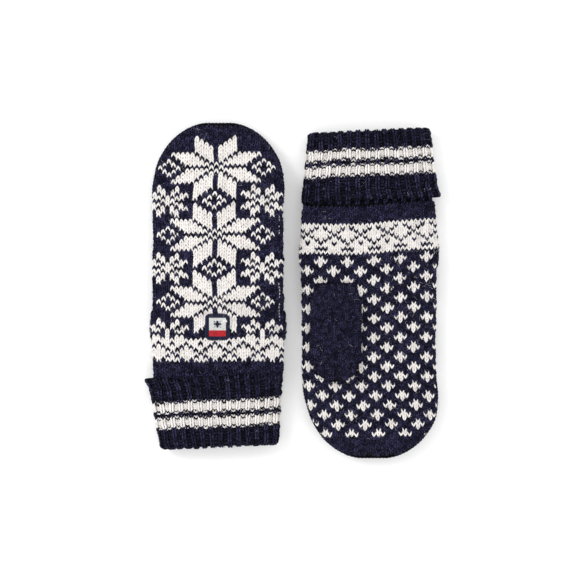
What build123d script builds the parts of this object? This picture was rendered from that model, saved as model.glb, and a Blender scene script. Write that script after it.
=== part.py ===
from build123d import *
import math
import os

# A pair of lined, knitted mittens with turned-up ribbed cuffs, lying flat side by side.
# The left-hand mitten lies back up with its thumb folded under the palm, and the
# right-hand one lies palm up, turned end for end, with its thumb on the palm.
# Row frame: +X across the pair, +Y towards the left-hand fingertips, +Z up from the
# table, with the origin on the table in the middle of the pair.
# Each mitten is drawn in its own frame: x towards the thumb side, y from the fold of
# the cuff to the fingertips, z up from the table. Lengths are in millimetres.

# Placement of the pair
PAIR_SPACING = 117.8  # between the two centrelines
LENGTH = 254.0  # fold of the cuff to the fingertips
FOLD_Y = 124.0  # distance of each cuff fold from the origin

# Hand: a flattened tube of knit, closed by a rounded tip
HAND_WIDTH = 105.0
HAND_THICKNESS = 20.0
KNIT_WALL = 3.0
HAND_START = 57.2  # where the hand leaves the ribbed wrist
HAND_FULL = 86.0  # where it has its full width and thickness
WRIST_WIDTH = 100.6
WRIST_LOW = 0.5
WRIST_HIGH = 19.5
SINK = 1.0  # how far the round section would sink into the table, cut off flat
TIP_REACH = 53.0  # length over which the outline rounds off
TIP_CUT = 1.2  # blunt end left off the outline
TIP_POWER = 2.2  # superellipse power of the outline at the fingertips
DEPTH_POWER = 3.2  # the thickness stays full for longer than the width
SECTION_POWER = 2.6  # superellipse power across the mitten
SECTION_POINTS = 36
STATION_STEP = 8.0

# Fleece lining, sewn in at the top of the rib
LINING_GAP = 0.8
LINING_WALL = 2.0
LINING_START = 59.0
LINING_SHORT = 8.0  # the lining ends this far before the fingertips
SEAM_START = 57.4
SEAM_END = 58.8

# Wrist: ribbed inner layer, and the outer layer turned up over it
RIB_START = 3.4
RIB_END = 57.0
RIB_WIDTH_FOLD = 88.8
RIB_WIDTH_TOP = 99.4
RIB_LOW = 3.5
RIB_HIGH = 17.5
RIB_WALL = 2.8
CUFF_LENGTH = 55.0
CUFF_WIDTH_FOLD = 97.0
CUFF_WIDTH_EDGE = 108.0
CUFF_HIGH = 21.0
CUFF_WALL = 3.1
CUFF_SIDE_WALL = 3.6
FOLD_DEPTH = 3.0
FOLD_ROUND = 2.4

# Thumb: a flat tube whose round root stays over the thumb hole
THUMB_X = 26.0  # offset of the thumb from the centreline
THUMB_ROOT_Y = 141.0
THUMB_TIP_Y = 175.0
THUMB_RADIUS = 20.0
THUMB_THICKNESS = 8.0
THUMB_ROUND = 3.4
THUMB_WALL = 2.2
THUMB_LINING_WALL = 1.2
THUMB_LINING_GAP = 0.08
THUMB_GAP = 0.3  # air between the thumb and the palm
COLLAR_RADIUS = 14.8
COLLAR_BORE = 12.6
COLLAR_RUNNING = 0.4  # the collar's clearance in the thumb hole
COLLAR_DEPTH = 6.2

# Rise of the left-hand mitten over its own thumb
RISE_FROM_X = -38.0
RISE_FULL_X = -6.0
RISE_START_Y = 98.0
RISE_FULL_Y = 120.0
FALL_START_Y = 199.0
FALL_END_Y = 233.0
RISE = THUMB_THICKNESS + THUMB_GAP + SINK

# Woven label on the back of each hand
LABEL_Y = 96.0
LABEL_WIDTH = 18.4
LABEL_HEIGHT = 20.4
LABEL_THICKNESS = 0.85
LABEL_CORNER = 2.0
LABEL_GAP = 0.05
STITCH_THICKNESS = 0.3
STITCH_MARGIN = 0.9
STITCH_WIDTH = 0.7
POCKET_MARGIN = 0.2

# Closing yarn and lining seam
YARN_WIDTH = 12.0
YARN_HEIGHT = 2.4
YARN_DEPTH = 1.8
YARN_GAP = 0.15
RAIL_WIDTH = 1.2
RAIL_OFFSET = 2.3  # from the lining's inner face to the middle of the seam
RAIL_HEIGHT = 2.4
RAIL_END_Y = 196.0


def smooth(value, start, end):
    """Ramp from 0 at start to 1 at end, level at both."""
    t = min(1.0, max(0.0, (value - start) / (end - start)))
    return t * t * (3.0 - 2.0 * t)


def no_rise(x, y):
    return 0.0


def thumb_rise(x, y):
    """Height of the left-hand mitten over the thumb that it lies on."""
    across = smooth(x, RISE_FROM_X, RISE_FULL_X)
    along = smooth(y, RISE_START_Y, RISE_FULL_Y) - smooth(y, FALL_START_Y, FALL_END_Y)
    return RISE * across * along


def tip_factor(y, inset, power):
    """1 along the straight sides, falling to 0 at the end of the rounded tip."""
    start = LENGTH + TIP_CUT - TIP_REACH
    s = max(0.0, y - start) / (TIP_REACH - inset)
    return (1.0 - min(s, 1.0) ** power) ** (1.0 / power)


def hand_section(y, inset):
    """Half width, lowest and highest z of the hand at y, inset from its outer face."""
    grown = smooth(y, HAND_START, HAND_FULL)
    half_width = WRIST_WIDTH / 2 + (HAND_WIDTH - WRIST_WIDTH) / 2 * grown
    low = WRIST_LOW + (-SINK - WRIST_LOW) * grown
    high = WRIST_HIGH + (HAND_THICKNESS - WRIST_HIGH) * grown
    middle = (low + high) / 2
    half_depth = ((high - low) / 2 - inset) * tip_factor(y, inset, DEPTH_POWER)
    half_width = (half_width - inset) * tip_factor(y, inset, TIP_POWER)
    return half_width, middle - half_depth, middle + half_depth


def ring(y, half_width, low, high, rise):
    """One closed superellipse across the mitten at y."""
    middle = (low + high) / 2
    half_depth = (high - low) / 2
    points = []
    for k in range(SECTION_POINTS):
        angle = 2 * math.pi * (k + 0.5) / SECTION_POINTS
        c = math.cos(angle)
        s = math.sin(angle)
        x = half_width * math.copysign(abs(c) ** (2 / SECTION_POWER), c)
        z = middle + half_depth * math.copysign(abs(s) ** (2 / SECTION_POWER), s)
        points.append((x, y, z + rise(x, y)))
    return Wire([Edge.make_spline(points, periodic=True)])


def hand_stations(start, end):
    """Evenly spaced along the sides, closing up round the tip."""
    round_start = LENGTH + TIP_CUT - TIP_REACH
    steps = round((round_start - start) / STATION_STEP)
    stations = [start + (round_start - start) * k / steps for k in range(steps)]
    tip_steps = 7
    for k in range(tip_steps + 1):
        angle = math.asin((end - round_start) / TIP_REACH) * k / tip_steps
        stations.append(round_start + TIP_REACH * math.sin(angle))
    return stations


def hand_loft(start, end, inset, rise):
    rings = [ring(y, *hand_section(y, inset), rise) for y in hand_stations(start, end)]
    return Solid.make_loft(rings)


def above_table(solid):
    """Cut off flat what would sink into the table."""
    size = 2 * LENGTH
    return solid - Pos(0, LENGTH / 2, -size / 2) * Box(size, size, size)


def tube_loft(start, end, width_start, width_end, low, high):
    """A flattened tube whose width changes evenly, for the rib and the cuff."""
    rings = []
    for y, width in ((start, width_start), (end, width_end)):
        rings.append(ring(y, width / 2, low, high, no_rise))
    return Solid.make_loft(rings, ruled=True)


def stadium(radius):
    """Outline of the thumb seen from above, in the mitten's frame."""
    sketch = Pos(THUMB_X, THUMB_ROOT_Y) * Circle(radius)
    sketch += Pos(THUMB_X, THUMB_TIP_Y) * Circle(radius)
    middle = (THUMB_ROOT_Y + THUMB_TIP_Y) / 2
    sketch += Pos(THUMB_X, middle) * Rectangle(2 * radius, THUMB_TIP_Y - THUMB_ROOT_Y)
    return sketch


def slab(sketch, low, high):
    return extrude(Pos(0, 0, low) * sketch, high - low)


def thumb_disc(radius, low, high):
    """Upright cylinder on the axis of the thumb hole."""
    return slab(Pos(THUMB_X, THUMB_ROOT_Y) * Circle(radius), low, high)


def palm_hole(palm_up):
    """What the thumb hole removes from the palm side of the hand."""
    radius = COLLAR_RADIUS + COLLAR_RUNNING
    if palm_up:
        return thumb_disc(radius, HAND_THICKNESS / 2, 2 * HAND_THICKNESS)
    return thumb_disc(radius, 0.0, RISE + HAND_THICKNESS / 2)


def label_outline(margin):
    width = LABEL_WIDTH - 2 * margin
    height = LABEL_HEIGHT - 2 * margin
    return Pos(0, LABEL_Y) * RectangleRounded(width, height, LABEL_CORNER - 0.6 * margin)


def make_hand_shell(palm_up, rise):
    """Knitted outer hand with its closed tip and the thumb hole."""
    outer = above_table(hand_loft(HAND_START, LENGTH, 0.0, rise))
    inner = hand_loft(HAND_START - 1.0, LENGTH - KNIT_WALL, KNIT_WALL, rise)
    shell = outer - inner - palm_hole(palm_up)
    if palm_up:
        pocket_depth = LABEL_THICKNESS + STITCH_THICKNESS + 3 * LABEL_GAP
        shell -= slab(label_outline(-POCKET_MARGIN), 0.0, pocket_depth)
    return shell


def make_hand_lining(palm_up, rise):
    """Fleece bag that follows the inside of the hand."""
    inset = KNIT_WALL + LINING_GAP
    end = LENGTH - LINING_SHORT
    outer = hand_loft(LINING_START, end, inset, rise)
    inner_end = end - LINING_WALL
    inner = hand_loft(LINING_START - 1.0, inner_end, inset + LINING_WALL, rise)
    return outer - inner - palm_hole(palm_up)


def make_lining_seam(rise):
    """Stitched round that joins the lining to the top of the rib."""
    inset = KNIT_WALL + LINING_GAP
    rings = []
    for depth in (inset, inset + LINING_WALL):
        pair = [ring(y, *hand_section(y, depth), rise) for y in (SEAM_START, SEAM_END)]
        rings.append(Solid.make_loft(pair, ruled=True))
    return rings[0] - rings[1]


def make_lining_side_seam(rise):
    """Overlocked seam along the thumb side of the lining."""
    inset = KNIT_WALL + LINING_GAP + LINING_WALL
    start = SEAM_END + 3.0
    steps = round((RAIL_END_Y - start) / STATION_STEP)
    profiles = []
    for k in range(steps + 1):
        y = start + (RAIL_END_Y - start) * k / steps
        half_width, low, high = hand_section(y, inset)
        x = half_width - RAIL_OFFSET
        z = (low + high) / 2 + rise(x, y)
        plane = Plane(origin=(x, y, z), x_dir=(1, 0, 0), z_dir=(0, 1, 0))
        profiles.append((plane * Rectangle(RAIL_WIDTH, RAIL_HEIGHT)).wire())
    return Solid.make_loft(profiles)


def make_tip_yarn(rise):
    """Yarn drawn through the last stitches to close the fingertips from inside."""
    y = LENGTH - KNIT_WALL - YARN_DEPTH / 2 - YARN_GAP
    _, low, high = hand_section(y, 0.0)
    z = (low + high) / 2 + rise(0.0, y)
    yarn = Pos(0, y, z) * Box(YARN_WIDTH, YARN_DEPTH, YARN_HEIGHT)
    return fillet(yarn.edges().filter_by(Axis.X), YARN_DEPTH / 3)


def make_label(palm_up, rise):
    """Woven label lying on the back of the hand, and its sewn frame."""
    label_plan = label_outline(0.0)
    frame_plan = label_outline(STITCH_MARGIN) - label_outline(STITCH_MARGIN + STITCH_WIDTH)
    if palm_up:
        stitching = slab(frame_plan, 0.0, STITCH_THICKNESS)
        label_low = STITCH_THICKNESS + LABEL_GAP
        return slab(label_plan, label_low, label_low + LABEL_THICKNESS), stitching
    levels = [LABEL_GAP, LABEL_GAP + LABEL_THICKNESS]
    levels.append(levels[1] + LABEL_GAP)
    levels.append(levels[2] + STITCH_THICKNESS)
    skins = [hand_loft(HAND_START, LENGTH - TIP_REACH, -level, rise) for level in levels]
    top = HAND_THICKNESS + RISE + 2 * LABEL_THICKNESS
    label = (slab(label_plan, HAND_THICKNESS / 2, top) & skins[1]) - skins[0]
    stitching = (slab(frame_plan, HAND_THICKNESS / 2, top) & skins[3]) - skins[2]
    return label, stitching


def make_wrist_rib():
    """Ribbed inner layer of the wrist, hidden under the turned-up cuff."""
    widths = (RIB_WIDTH_FOLD, RIB_WIDTH_TOP)
    outer = tube_loft(RIB_START, RIB_END, *widths, RIB_LOW, RIB_HIGH)
    inner_widths = [width - 2 * RIB_WALL for width in widths]
    inner = tube_loft(
        RIB_START - 1.0, RIB_END + 1.0, *inner_widths, RIB_LOW + RIB_WALL, RIB_HIGH - RIB_WALL
    )
    return outer - inner


def make_turned_cuff():
    """Outer layer of the cuff, with the rolled fold that closes it to the rib."""
    slope = (CUFF_WIDTH_EDGE - CUFF_WIDTH_FOLD) / CUFF_LENGTH
    rings = []
    for y, cut in ((0.0, FOLD_ROUND), (0.35 * FOLD_ROUND, 0.3 * FOLD_ROUND), (FOLD_ROUND, 0.0)):
        half_width = (CUFF_WIDTH_FOLD + slope * y) / 2 - cut
        rings.append(ring(y, half_width, -SINK + cut, CUFF_HIGH - cut, no_rise))
    rings.append(ring(CUFF_LENGTH, CUFF_WIDTH_EDGE / 2, -SINK, CUFF_HIGH, no_rise))
    outer = above_table(Solid.make_loft(rings, ruled=True))
    width_low = CUFF_WIDTH_FOLD + slope * FOLD_DEPTH - 2 * CUFF_SIDE_WALL
    width_high = CUFF_WIDTH_EDGE + slope - 2 * CUFF_SIDE_WALL
    high = CUFF_HIGH - CUFF_WALL
    hollow = tube_loft(FOLD_DEPTH, CUFF_LENGTH + 1.0, width_low, width_high, CUFF_WALL, high)
    mouth_width = RIB_WIDTH_FOLD - 2 * RIB_WALL
    mouth_low = RIB_LOW + RIB_WALL
    mouth_high = RIB_HIGH - RIB_WALL
    mouth = tube_loft(-1.0, FOLD_DEPTH + 1.0, mouth_width, mouth_width, mouth_low, mouth_high)
    return outer - hollow - mouth


def make_thumb(palm_up):
    """Knitted thumb, its lining, and the collar of stitches in the palm."""
    low = HAND_THICKNESS + THUMB_GAP if palm_up else 0.0
    high = low + THUMB_THICKNESS
    shell = slab(stadium(THUMB_RADIUS), low, high)
    rims = shell.edges().group_by(Axis.Z)
    shell = fillet(rims[0] + rims[-1], THUMB_ROUND)
    shell -= slab(stadium(THUMB_RADIUS - THUMB_WALL), low + THUMB_WALL, high - THUMB_WALL)
    skin = THUMB_WALL + THUMB_LINING_GAP
    lining = slab(stadium(THUMB_RADIUS - skin), low + skin, high - skin)
    skin += THUMB_LINING_WALL
    lining -= slab(stadium(THUMB_RADIUS - skin), low + skin, high - skin)
    middle = (low + high) / 2
    if palm_up:
        mouth = thumb_disc(COLLAR_BORE, low - 1.0, middle)
        collar_high = low - THUMB_GAP / 2
        collar_low = collar_high - COLLAR_DEPTH
    else:
        mouth = thumb_disc(COLLAR_BORE, middle, high + 1.0)
        collar_low = high + THUMB_GAP / 2
        collar_high = collar_low + COLLAR_DEPTH
    collar = thumb_disc(COLLAR_RADIUS, collar_low, collar_high)
    collar -= thumb_disc(COLLAR_BORE, collar_low, collar_high)
    return shell - mouth, lining - mouth, collar


def make_mitten(palm_up):
    """All the pieces of one mitten, by name, in the mitten's own frame."""
    rise = no_rise if palm_up else thumb_rise
    pieces = {}
    pieces["hand_shell"] = make_hand_shell(palm_up, rise)
    pieces["wrist_rib"] = make_wrist_rib()
    pieces["turned_cuff"] = make_turned_cuff()
    thumb_shell, thumb_lining, thumb_collar = make_thumb(palm_up)
    pieces["thumb_shell"] = thumb_shell
    pieces["thumb_lining"] = thumb_lining
    pieces["thumb_collar"] = thumb_collar
    pieces["hand_lining"] = make_hand_lining(palm_up, rise)
    pieces["lining_seam"] = make_lining_seam(rise)
    pieces["lining_side_seam"] = make_lining_side_seam(rise)
    pieces["tip_yarn"] = make_tip_yarn(rise)
    pieces["label"], pieces["label_stitching"] = make_label(palm_up, rise)
    return pieces


left_place = Pos(-PAIR_SPACING / 2, -FOLD_Y, 0)
right_place = Pos(PAIR_SPACING / 2, FOLD_Y, 0) * Rot(0, 0, 180)

os.makedirs("parts", exist_ok=True)
for side, palm_up, place in (("left", False, left_place), ("right", True, right_place)):
    for name, piece in make_mitten(palm_up).items():
        export_step(place * piece, f"parts/{side}_{name}.step")
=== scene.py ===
import math

import bpy
import numpy as np
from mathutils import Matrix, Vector


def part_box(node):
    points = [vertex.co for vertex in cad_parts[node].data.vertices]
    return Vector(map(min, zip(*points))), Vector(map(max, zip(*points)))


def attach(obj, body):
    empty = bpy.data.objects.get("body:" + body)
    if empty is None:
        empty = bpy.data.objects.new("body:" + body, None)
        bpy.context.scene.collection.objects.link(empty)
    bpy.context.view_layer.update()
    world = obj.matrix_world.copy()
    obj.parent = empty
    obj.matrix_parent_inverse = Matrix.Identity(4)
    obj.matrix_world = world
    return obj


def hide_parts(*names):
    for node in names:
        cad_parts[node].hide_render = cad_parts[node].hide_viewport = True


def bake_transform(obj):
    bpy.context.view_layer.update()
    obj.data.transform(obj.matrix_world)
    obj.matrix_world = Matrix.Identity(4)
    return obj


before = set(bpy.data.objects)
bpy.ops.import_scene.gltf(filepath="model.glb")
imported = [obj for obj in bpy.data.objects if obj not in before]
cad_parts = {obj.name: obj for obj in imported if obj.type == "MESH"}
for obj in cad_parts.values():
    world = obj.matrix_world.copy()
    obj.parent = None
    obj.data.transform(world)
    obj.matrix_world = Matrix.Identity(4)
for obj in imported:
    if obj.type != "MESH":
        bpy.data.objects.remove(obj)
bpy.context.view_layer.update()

# A pair of knitted mittens, built stitch by stitch over the CAD shells.
# Each mitten has its own frame: x towards the thumb side, y from the fold of the cuff
# to the fingertips, z up. Lengths in this script are millimetres, and meshes are metres.

MM = 0.001
SEED = 11

# ---- Knit ----
BACK_COLUMNS = 30
BACK_CENTRE = 14  # column of the big stars' centre line
BACK_ROW = 2.6
BAND_ROW = 2.48  # rows are tighter between the last star and the cuff
STAR_TOP_FROM_TIP = 34.8  # centre of the first big star, from the fingertips
STAR_ROWS = (0, 20, 40)  # middles of the big stars
SIDE_STARS = 10  # columns from the centre line, and rows below each big star
BAND_EDGE = 52  # first full row of the patterned band
BAND_START_ROW = 40  # where the rows get tighter
REPEAT = 6  # columns in one repeat of both bands and of the palm's small stars
PALM_COLUMNS = 33
PALM_CENTRE = 15
PALM_ROW = 2.483
PALM_BAND_ROW = 2.29
PALM_BAND_ROWS = 10
PALM_BAND_START = 72.3  # from the fold of the cuff
PALM_PLAIN_ROWS = 6  # at the fingertips
PALM_SKEW = 0.09  # the rows run towards the cuff on the little finger's side
SKEW_FADE = (100.0, 190.0)  # distances from the fold between which the slant dies out
DASH_COLUMN = 13.5  # floats that peek out beside the back's pattern
DASH_ROWS = ((11, 20), (34, 46))
RIB_COLUMNS = 56
RIBS = {  # which columns, width of a stitch, how high it lies, and its loop
    "knit": (0, 1.1, 0.5, {"lean": 0.95, "depth": 0.5}),
    # The purl loop's light lowers its navy crest: painted shade in the rib's valleys.
    "purl": (1, 0.92, -0.45, {"lean": 1.4, "depth": 0.3, "purl": True, "light": 0.84}),
}
RIB_ROW = 2.4
CUFF_INSIDE_ROWS = 1
CUFF_STRIPES = ((8, 11), (13, 16))  # cream rows, counted from the free edge
THUMB_COLUMNS = 15
THUMB_ROW = 2.45
THUMB_LOOP = {"depth": 0.5, "lean": 1.2}
YARN = {"navy": 0.405, "cream": 0.38}  # thickness as a share of the column width
LOOP_STEPS = 12
LOOP_SIDES = 6
LOOP_LEAN = 1.65  # how far the two legs of a stitch lean apart
LOOP_DEPTH = 0.6
UNEVEN = 0.13  # how far stitches stray from an even grid
INSET = 1.05  # middle of the yarn under the CAD face
BACKING = 1.25  # fabric behind the yarn
BACKING_COLUMNS = 172
BACKING_ROW = 1.3
BACKING_LOWEST = 0.3  # above the table
MAX_STITCHES = 1250  # in one piece
FUZZ = 1.8  # loose fibres per stitch
LINT = 0.03  # cream fibres that have strayed on to other stitches
FIBRE = 3.0  # length of a loose hair
FIBRE_RADIUS = 0.045
FIBRE_STRAY = 1.2  # how far a hair lies from the middle of its stitch
FIBRE_HEIGHT = 0.9
RIB_BACKING = 1.2  # fabric behind the ribs' yarn
THUMB_BACKING = 0.9

# ---- Shapes that follow the CAD, inside its box ----
TIP_REACH = 52.0
TIP_POWER = 1.98
TIP_FLAT = 6.0  # half of the straight edge at the fingertips
DEPTH_POWER = 3.0
SECTION_POWER = 2.6
HAND_FULL = 86.0  # distance from the fold where the hand has its full depth
HAND_SLACK = {"left": 1.0, "right": 0.1}  # the hand lies a little narrower than the shell
TIP_LEAN = {"left": 0.8, "right": -3.4}  # the fingertips lie off the centre line
TIP_LEAN_REACH = (70.0, 25.0)  # from the fingertips
BAND_BULGE = {"left": 1.3, "right": 1.9}  # the patterned band spreads above the cuff
BAND_BULGE_END = (86.0, 165.0)
WRIST_INSET = 1.6  # the hand narrows towards the wrist
WRIST_GROWS = 10.0
EDGE_WAVE = 0.3
RISE_X = (-38.0, -6.0)  # where the left-hand mitten climbs over its thumb
RISE_Y = (98.0, 120.0)
FALL_Y = (199.0, 233.0)
RIB_TAPER = 5.3  # on each side, from the top of the rib to the fold
RIB_INSET = 1.3
CUFF_TAPER = 6.4
CUFF_INSET = 1.3
CUFF_ROLL = 1.7  # radius of the fold
CUFF_SHEAR = 0.046  # the cuff is folded up slightly askew
CUFF_FOLD_RISE = {"left": 2.8, "right": 0.0}
CUFF_EDGE_RISE = {"left": 3.1, "right": -1.3}
CUFF_SLACK = {"left": 1.9, "right": 0.3}
CUFF_SHIFT = {"left": (1.4, -2.0), "right": (0.0, -0.9)}  # at the fold and at the free edge
CUFF_EAR = {"left": 2.4, "right": 1.6}  # the free edge's corner curls out
EAR_REACH = 9.0
THUMB_TIP = 20.0
THUMB_TIP_POWER = 1.9
THUMB_ROOT = 15.0
THUMB_ROOT_NARROWS = 3.5
THUMB_ROOT_THICK = 0.12  # share of the full thickness
THUMB_ROOT_SUNK = 1.6  # how far the root sinks into the palm
THUMB_INSET = 1.1
THUMB_SIDE_INSET = 0.9
THUMB_FLEECE_START = 9.0
THUMB_FLEECE_DEPTH = 1.7
COLLAR_STITCH = 2.3
THUMB_BEND = 16.0  # how far up the thumb its root stays on the palm

# ---- Label ----
CELL = 0.52  # one crossing of the label's weave
LABEL_BORDER = 4  # cells
LABEL_RED_ROWS = 9
EMBLEM_ARM = 5
LABEL_CORNER = 6.0
LABEL_RAISED = {"left": 1.45, "right": 0.4}  # above the middle of the yarn
EDGING_STEP = 0.62  # from thread to thread


def smooth(value, start, end):
    """Eases from 0 at start to 1 at end."""
    t = np.clip((value - start) / (end - start), 0.0, 1.0)
    return t * t * (3.0 - 2.0 * t)


# ---- Materials ----
def node(tree, kind, **values):
    made = tree.nodes.new(kind)
    for name, value in values.items():
        if name in made.inputs:
            made.inputs[name].default_value = value
        else:
            setattr(made, name, value)
    return made


def new_material(name, roughness, sheen):
    material = bpy.data.materials.new(name)
    material.use_nodes = True
    tree = material.node_tree
    shader = tree.nodes["Principled BSDF"]
    shader.inputs["Roughness"].default_value = roughness
    shader.inputs["Sheen Weight"].default_value = sheen
    shader.inputs["Sheen Roughness"].default_value = 0.45
    shader.inputs["Specular IOR Level"].default_value = 0.12
    return material, tree, shader


def colour_ramp(tree, colours):
    ramp = tree.nodes.new("ShaderNodeValToRGB")
    elements = ramp.color_ramp.elements
    while len(elements) < len(colours):
        elements.new(0.5)
    for k, (place, colour) in enumerate(colours):
        elements[k].position = place
        elements[k].color = (*colour, 1.0)
    return ramp


def object_texture(tree, kind, **values):
    """A texture node laid out in the object's own coordinates."""
    texture = node(tree, kind, **values)
    place = node(tree, "ShaderNodeTexCoord")
    tree.links.new(place.outputs["Object"], texture.inputs["Vector"])
    return texture


def weighted(tree, value, weight, base):
    """value * weight + base."""
    total = node(tree, "ShaderNodeMath", operation="MULTIPLY_ADD")
    total.inputs[1].default_value = weight
    tree.links.new(value, total.inputs[0])
    tree.links.new(base, total.inputs[2])
    return total.outputs[0]


def add_bump(tree, shader, height, strength, distance):
    bump = node(tree, "ShaderNodeBump", Strength=strength, Distance=distance)
    tree.links.new(height, bump.inputs["Height"])
    tree.links.new(bump.outputs["Normal"], shader.inputs["Normal"])


def wool(name, dark, middle, light, sheen, crevice_shade_share=1.0):
    """Brushed wool: heathered fibres, a soft twist along the yarn, and a woolly bump.

    The last argument is the share of colour left where the yarn sinks between its neighbours: painted
    shade, darkest on each strand's low sides; 1 paints none.
    """
    material, tree, shader = new_material(name, 0.92, sheen)
    link = tree.links.new
    noise = "ShaderNodeTexNoise"
    fibres = object_texture(tree, noise, Scale=1700.0, Detail=4.0, Roughness=0.65)
    heather = object_texture(tree, noise, Scale=1100.0, Detail=3.0, Roughness=0.7)
    shade = node(tree, "ShaderNodeAttribute", attribute_name="shade")
    mixed = weighted(tree, shade.outputs["Fac"], 0.12, fibres.outputs["Fac"])
    total = weighted(tree, heather.outputs["Fac"], 0.6, mixed)
    level = node(tree, "ShaderNodeMapRange")
    level.inputs["From Min"].default_value = 0.70
    level.inputs["From Max"].default_value = 1.04
    link(total, level.inputs["Value"])
    ramp = colour_ramp(tree, ((0.0, dark), (0.5, middle), (1.0, light)))
    link(level.outputs["Result"], ramp.inputs["Fac"])
    # Painted shade: the colour is scaled down where the crest attribute is low, on the sides and dips
    # of each strand.
    crest = node(tree, "ShaderNodeAttribute", attribute_name="crest")
    sunk = node(tree, "ShaderNodeMapRange", interpolation_type="SMOOTHSTEP")
    sunk.inputs["From Min"].default_value = 0.58
    sunk.inputs["From Max"].default_value = 0.95
    sunk.inputs["To Min"].default_value = crevice_shade_share
    link(crest.outputs["Fac"], sunk.inputs["Value"])
    shaded = node(tree, "ShaderNodeVectorMath", operation="SCALE")
    link(ramp.outputs["Color"], shaded.inputs[0])
    link(sunk.outputs["Result"], shaded.inputs["Scale"])
    link(shaded.outputs["Vector"], shader.inputs["Base Color"])
    yarn_map = node(tree, "ShaderNodeUVMap", uv_map="yarn")
    scale = node(tree, "ShaderNodeMapping")
    scale.inputs["Scale"].default_value = (7.0, 2.0, 1.0)
    link(yarn_map.outputs["UV"], scale.inputs["Vector"])
    twist = node(tree, "ShaderNodeTexWave", Scale=1.0, Distortion=1.5, bands_direction="DIAGONAL")
    twist.inputs["Detail"].default_value = 1.0
    link(scale.outputs["Vector"], twist.inputs["Vector"])
    height = weighted(tree, twist.outputs["Fac"], 0.35, fibres.outputs["Fac"])
    add_bump(tree, shader, height, 0.75, 0.0005)
    rough = node(tree, "ShaderNodeMapRange")
    rough.inputs["To Min"].default_value = 0.8
    rough.inputs["To Max"].default_value = 1.0
    link(fibres.outputs["Fac"], rough.inputs["Value"])
    link(rough.outputs["Result"], shader.inputs["Roughness"])
    return material


def fleece(name, dark, light):
    """Short pile lining."""
    material, tree, shader = new_material(name, 0.95, 0.35)
    link = tree.links.new
    pile = object_texture(tree, "ShaderNodeTexVoronoi", Scale=900.0)
    tufts = object_texture(tree, "ShaderNodeTexNoise", Scale=260.0, Detail=4.0)
    ramp = colour_ramp(tree, ((0.3, dark), (0.75, light)))
    link(tufts.outputs["Fac"], ramp.inputs["Fac"])
    link(ramp.outputs["Color"], shader.inputs["Base Color"])
    add_bump(tree, shader, pile.outputs["Distance"], 0.8, 0.0008)
    return material


def cloth(name, colour, sunk_thread_shade):
    """Fine woven or twisted thread, for the label and the sewing.

    The last argument is how much darker the sunk threads are painted: painted shade between the
    threads.
    """
    material, tree, shader = new_material(name, 0.7, 0.15)
    link = tree.links.new
    grid = node(tree, "ShaderNodeMath", operation="MAXIMUM")
    for k, direction in enumerate("XY"):
        threads = {"Scale": 650.0, "Distortion": 0.6, "bands_direction": direction}
        wave = object_texture(tree, "ShaderNodeTexWave", **threads)
        link(wave.outputs["Fac"], grid.inputs[k])
    # Painted shade: the sunk threads take a darker colour.
    dark = tuple(channel * (1 - sunk_thread_shade) for channel in colour)
    ramp = colour_ramp(tree, ((0.2, dark), (0.9, colour)))
    link(grid.outputs[0], ramp.inputs["Fac"])
    link(ramp.outputs["Color"], shader.inputs["Base Color"])
    add_bump(tree, shader, grid.outputs[0], 0.5, 0.0002)
    return material


NAVY = wool(
    "navy_wool", (0.0005, 0.0005, 0.003), (0.0042, 0.0038, 0.018), (0.078, 0.074, 0.17), 0.01, 0.0
)
NAVY_PLAIN = wool(
    "navy_knit", (0.002, 0.002, 0.007), (0.007, 0.007, 0.018), (0.02, 0.02, 0.04), 0.02
)
CREAM = wool(
    "cream_wool", (0.78, 0.735, 0.71), (0.955, 0.91, 0.88), (1.0, 0.98, 0.955), 0.02, 0.8
)
# Backing fabric shows only between the stitches: it takes the yarn's colour, painted darker as the
# shade in those gaps.
NAVY_SHADED_BACKING = wool(
    "navy_backing_shaded", (0.001, 0.001, 0.003), (0.003, 0.003, 0.008), (0.006, 0.006, 0.014), 0.0
)
CREAM_SHADED_BACKING = wool(
    "cream_backing_shaded", (0.42, 0.39, 0.38), (0.60, 0.56, 0.545), (0.72, 0.68, 0.66), 0.0
)
NAVY_FIBRE = wool(
    "navy_fibre", (0.003, 0.003, 0.010), (0.017, 0.0155, 0.042), (0.24, 0.235, 0.32), 0.0
)
CREAM_FIBRE = wool(
    "cream_fibre", (0.66, 0.63, 0.61), (0.86, 0.83, 0.81), (0.95, 0.93, 0.91), 0.0
)
FLEECE = fleece("navy_fleece", (0.008, 0.008, 0.016), (0.03, 0.03, 0.05))
LABEL_WHITE = cloth("label_white", (0.82, 0.82, 0.81), 0.25)
LABEL_NAVY = cloth("label_navy", (0.012, 0.016, 0.05), 0.4)
LABEL_RED = cloth("label_red", (0.62, 0.03, 0.04), 0.35)
THREAD = cloth("sewing_thread", (0.02, 0.02, 0.045), 0.4)


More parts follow.
